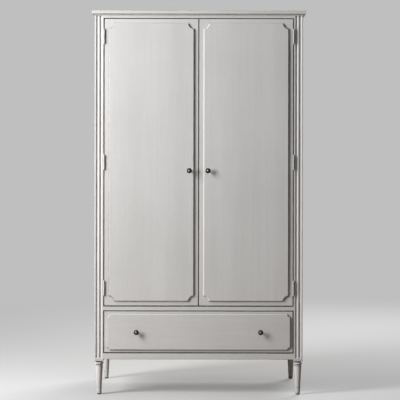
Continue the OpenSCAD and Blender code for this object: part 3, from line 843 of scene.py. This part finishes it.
def hinge_leaf(bm, pin_x, outward, z, first):
    """One leaf beside a pin, on the side that outward, -1 or 1, points to. Its knuckles are
    every second one from first up."""
    inner, outer = sorted((pin_x + outward * LEAF_GAP, pin_x + outward * (LEAF_GAP + LEAF_T)))
    bottom = z - HINGE_H / 2
    board(bm, (inner, FRONT + LEAF_GAP, bottom), (outer, FRONT + LEAF_W, bottom + HINGE_H),
          LEAF_EASE)
    for index in range(first, KNUCKLES, 2):
        start = bottom + index * KNUCKLE_H + KNUCKLE_GAP / 2
        end = start + KNUCKLE_H - KNUCKLE_GAP
        board(bm, (inner, PIN_Y + NECK_START, start), (outer, FRONT + NECK_END, end), NECK_EASE)
        barrel = [(KNUCKLE_BORE, start), (BARREL_R - KNUCKLE_EASE, start),
                  (BARREL_R, start + KNUCKLE_EASE), (BARREL_R, end - KNUCKLE_EASE),
                  (BARREL_R - KNUCKLE_EASE, end), (KNUCKLE_BORE, end)]
        turned(bm, barrel, (pin_x, PIN_Y, 0), segments=32, looped=True)


def hinge_pin(bm, x, z):
    """A pin with a rounded tip over and under its barrel."""
    half = HINGE_H / 2
    tip = [(PIN_R, half), (PIN_TIP_R, half), (PIN_TIP_R - 0.1 * MM, half + 0.5 * MM),
           (PIN_R, half + 1.3 * MM), (0, half + 1.6 * MM)]
    profile = [(radius, z - height) for radius, height in tip[::-1]]
    profile += [(radius, z + height) for radius, height in tip]
    turned(bm, profile, (x, PIN_Y, 0), segments=24)


def hinges():
    leaves = bmesh.new()
    pins = bmesh.new()
    for side in (-1, 1):
        for z in HINGE_ZS:
            hinge_leaf(leaves, side * PIN_X, side, z, 0)
            hinge_pin(pins, side * PIN_X, z)
    finish_piece("frame_hinge_leaves_rolled", leaves, "carcass", PAINTED_METAL,
                 ["frame_hinge_leaves"])
    finish_piece("hinge_pins_tipped", pins, "carcass", PAINTED_METAL,
                 ["hinge_pins"])
    for hand, side in zip(HANDS, (-1, 1)):
        leaves = bmesh.new()
        for z in HINGE_ZS:
            hinge_leaf(leaves, side * PIN_X, -side, z, 1)
        finish_piece(f"{hand}_door_hinge_leaves_rolled", leaves, f"{hand}_door",
                     PAINTED_METAL, [f"{hand}_door_hinge_leaves"])


SCREW_HEAD_R = 2.95 * MM
SCREW_R = 1.45 * MM
SCREW_L = 15 * MM
RECESS_DEPTH = 1.3 * MM
RECESS_TOP = (1.7 * MM, 0.45 * MM)
RECESS_FLOOR = (0.9 * MM, 0.3 * MM)


def cross_points(arm, half):
    """The outline of a cross whose arms reach arm from its middle and are 2 * half wide."""
    points = []
    for turn in range(4):
        for a, b in ((arm, -half), (arm, half), (half, half)):
            for _ in range(turn):
                a, b = -b, a
            points.append((a, b))
    return points


def crossed_screw(bm, head, direction):
    """A countersunk screw with a cross recess; direction is 1 or -1, from its head into the wood
    along X."""
    turned(bm, [(SCREW_HEAD_R - 0.1 * MM, 0), (SCREW_HEAD_R, 0.1 * MM),
                (SCREW_HEAD_R, 0.25 * MM), (SCREW_R, LEAF_T), (SCREW_R, SCREW_L),
                (0, SCREW_L + 1 * MM)], head, (direction, 0, 0), segments=24)
    top = [bm.verts.new((head[0], head[1] + a, head[2] + b))
           for a, b in cross_points(*RECESS_TOP)]
    floor = [bm.verts.new((head[0] + direction * RECESS_DEPTH, head[1] + a, head[2] + b))
             for a, b in cross_points(*RECESS_FLOOR)]
    for i in range(len(top)):
        j = (i + 1) % len(top)
        bm.faces.new((top[i], top[j], floor[j], floor[i]))
    bm.faces.new(floor)
    rim = [edge for edge in bm.edges if edge.is_boundary]
    bmesh.ops.triangle_fill(bm, use_beauty=True, edges=rim)


# up from the middle of the hinge, and back from the front, in millimetres
LEAF_SCREWS = ((-26, 8), (0, 14), (26, 8))


def hinge_screws():
    """Three screws for each leaf, staggered front to back. Those of the frame point outwards,
    those of a door inwards."""
    for name, body, sides, into in (("frame_hinge_screws", "carcass", (-1, 1), 1),
                                    ("left_door_hinge_screws", "left_door", (-1,), -1),
                                    ("right_door_hinge_screws", "right_door", (1,), -1)):
        bm = bmesh.new()
        for side in sides:
            direction = side * into
            x = side * PIN_X + direction * LEAF_GAP
            for z in HINGE_ZS:
                for up, back in LEAF_SCREWS:
                    crossed_screw(bm, (x, FRONT + back * MM, z + up * MM), direction)
        finish_piece(name + "_crossed", bm, body, ZINC, [name])


# ---------- inside and back ----------

PIN_PROFILE = in_mm([(0, 0.9), (1.0, 0.8), (1.9, 0.45), (2.4, 0), (0.9, -0.1), (0.9, -5),
                     (0, -6)])
PINS_ACROSS = 7
PINS_UP = 13
# from the posts' inner sides, and from the panel's lower and upper ends
PIN_SIDE_INSET = 9 * MM
PIN_END_INSET = 12 * MM


def back_pins():
    """Round-headed pins that hold the back panel to the posts and rails."""
    low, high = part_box("back_panel")
    edge_x = INNER_X - PIN_SIDE_INSET
    z0, z1 = low.z + PIN_END_INSET, high.z - PIN_END_INSET
    spots = [(side * edge_x, z0 + (z1 - z0) * i / (PINS_UP - 1))
             for side in (-1, 1) for i in range(PINS_UP)]
    spots += [(-edge_x + 2 * edge_x * i / (PINS_ACROSS - 1), z)
              for z in (z0, z1) for i in range(1, PINS_ACROSS - 1)]
    bm = bmesh.new()
    for x, z in spots:
        turned(bm, PIN_PROFILE, (x, high.y, z), (0, 1, 0), segments=16)
    finish_piece("back_panel_pins", bm, "carcass", ZINC)


def inner_board(node_name):
    """A board across the inside, notched round the posts."""
    low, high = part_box(node_name)
    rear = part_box("rear_left_post")[0].y
    near = post_high.y
    wide, narrow = -low.x, INNER_X
    outline = [(-narrow, low.y), (narrow, low.y), (narrow, near), (wide, near), (wide, rear),
               (narrow, rear), (narrow, high.y), (-narrow, high.y), (-narrow, rear),
               (-wide, rear), (-wide, near), (-narrow, near)]
    bm = bmesh.new()
    slab(bm, outline, low.z, high.z, INSIDE_EASE * MM)
    finish_piece(node_name + "_board", bm, "carcass", WOOD["x"], [node_name],
                 flats=True)


TUBE_WALL = 1.5 * MM
SOCKET_PROFILE = in_mm([
    (0, 0), (23, 0), (24, 0.8), (24, 2.2), (23, 3.2), (17, 3.8), (16.2, 4.6), (16.2, 8.2),
    (15.4, 9), (13.4, 9), (12.7, 8.2), (12.7, 1.2), (0, 1.2),
])


def rail_and_sockets():
    low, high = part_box("hanging_rail")
    y, z, radius = (low.y + high.y) / 2, (low.z + high.z) / 2, (high.z - low.z) / 2
    bore = radius - TUBE_WALL
    bm = bmesh.new()
    turned(bm, [(bore, low.x), (radius, low.x), (radius, high.x), (bore, high.x)], (0, y, z),
           (1, 0, 0), looped=True)
    finish_piece("hanging_rail_tube", bm, "carcass", STEEL, ["hanging_rail"])
    end_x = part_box("rail_sockets")[1].x
    bm = bmesh.new()
    for side in (-1, 1):
        turned(bm, SOCKET_PROFILE, (side * end_x, y, z), (-side, 0, 0))
    finish_piece("rail_sockets_turned", bm, "carcass", STEEL, ["rail_sockets"])


# ---------- CAD nodes whose shape stays ----------

def dress_cad_nodes():
    looks = {
        "back_panel": PLY["z"], "back_rails": WOOD["x"], "shelf_cleats": WOOD["y"],
        "drawer_runners": WOOD["y"], "drawer_bottom": PLY["x"],
        "door_catches": CATCH_PLASTIC, "leg_bolts": ZINC, "left_door_strike": ZINC,
        "right_door_strike": ZINC,
    }
    for name, material in looks.items():
        mesh = frame["nodes"][name].data
        mesh.materials.clear()
        mesh.materials.append(material)


# ---------- stage, light and camera ----------

BACKDROP = (0.52, 0.52, 0.525, 1)
FLOOR_SEEN = (0.70, 0.70, 0.70, 1)
FLOOR_BOUNCE = (0.38, 0.32, 0.27, 1)
AMBIENT = (1.0, 0.985, 0.965, 1)
FLOOR_REACH = 60.0
# the floor's look turns into the backdrop between these distances from the middle
FADE_SPAN = (1.0, 5.5)
FADE_LEAST = 0.35
EYE_X = 0.0067
EYE_DISTANCE = 6.8
EYE_HEIGHT = 1.136
# degrees
EYE_ROLL = -0.09


def floor_material():
    """Pale matt floor that fades into the backdrop some way off. The light that it bounces is
    dimmer and warmer than it looks, as from a wooden floor."""
    material = bpy.data.materials.new("pale_floor")
    tree = new_tree(material)
    coords = node(tree, "TexCoord").outputs["Object"]
    distance = node(tree, "VectorMath", {0: coords}, operation="LENGTH").outputs["Value"]
    far = span(tree, distance, *FADE_SPAN, to_low=FADE_LEAST)
    eye = node(tree, "LightPath").outputs["Is Camera Ray"]
    tint = blend_color(tree, eye, FLOOR_BOUNCE, FLOOR_SEEN)
    matt = node(tree, "BsdfDiffuse", {"Color": tint}).outputs[0]
    glow = node(tree, "Emission", {"Color": BACKDROP, "Strength": eye}).outputs[0]
    mixed = node(tree, "MixShader", {0: far, 1: matt, 2: glow}).outputs[0]
    node(tree, "OutputMaterial", {0: mixed})
    return material


def stage():
    mesh = bpy.data.meshes.new("floor")
    near, far = -FLOOR_REACH, FLOOR_REACH
    mesh.from_pydata([(near, near, 0), (far, near, 0), (far, far, 0), (near, far, 0)], [],
                     [(0, 1, 2, 3)])
    mesh.materials.append(floor_material())
    floor = bpy.data.objects.new("floor", mesh)
    bpy.context.scene.collection.objects.link(floor)


def area_light(name, position, target, width, height, power):
    light = bpy.data.lights.new(name, "AREA")
    light.shape = "RECTANGLE"
    light.size, light.size_y = width, height
    light.energy = power
    lamp = bpy.data.objects.new(name, light)
    lamp.location = position
    aim = Vector(target) - Vector(position)
    lamp.rotation_euler = aim.to_track_quat("-Z", "Y").to_euler()
    bpy.context.scene.collection.objects.link(lamp)


def lights():
    """A raking key light from the left, a weak fill, and a light for the back."""
    area_light("key", (-2.8, FRONT - 1.55, 2.2), (0.1, FRONT, 1.1), 1.2, 2.6, power=198)
    area_light("fill", (1.6, FRONT - 4.0, 2.8), (0.3, FRONT, 1.5), 2.0, 2.0, power=12)
    area_light("rear", (2.4, BACK + 4.5, 3.6), (0.3, BACK, 1.0), 3.0, 3.0, power=330)
    world = bpy.data.worlds.new("studio")
    bpy.context.scene.world = world
    tree = new_tree(world)
    ambient = node(tree, "Background", {"Color": AMBIENT, "Strength": 0.06}).outputs[0]
    seen = node(tree, "Background", {"Color": BACKDROP, "Strength": 1.0}).outputs[0]
    eye = node(tree, "LightPath").outputs["Is Camera Ray"]
    mixed = node(tree, "MixShader", {0: eye, 1: ambient, 2: seen}).outputs[0]
    node(tree, "OutputWorld", {0: mixed})
    bpy.context.scene.view_settings.view_transform = "Standard"


def camera():
    """Level view of the front with a trace of roll, the horizon a little above the middle."""
    data = bpy.data.cameras.new("camera")
    data.sensor_width = 36.0
    data.lens = 118.5
    data.shift_y = -0.0625
    eye = bpy.data.objects.new("camera", data)
    eye.location = (EYE_X, FRONT - EYE_DISTANCE, EYE_HEIGHT)
    eye.rotation_euler = (math.radians(90), math.radians(EYE_ROLL), 0)
    bpy.context.scene.collection.objects.link(eye)
    bpy.context.scene.camera = eye


# ---------- build ----------

cornice_board()
cornice_moulding()
for hand in HANDS:
    front_post(hand)
    door(hand)
legs_and_glides()
carcass_boards()
drawer()
hinges()
hinge_screws()
back_pins()
inner_board("cupboard_floor")
inner_board("hat_shelf")
rail_and_sockets()
dress_cad_nodes()
stage()
lights()
camera()
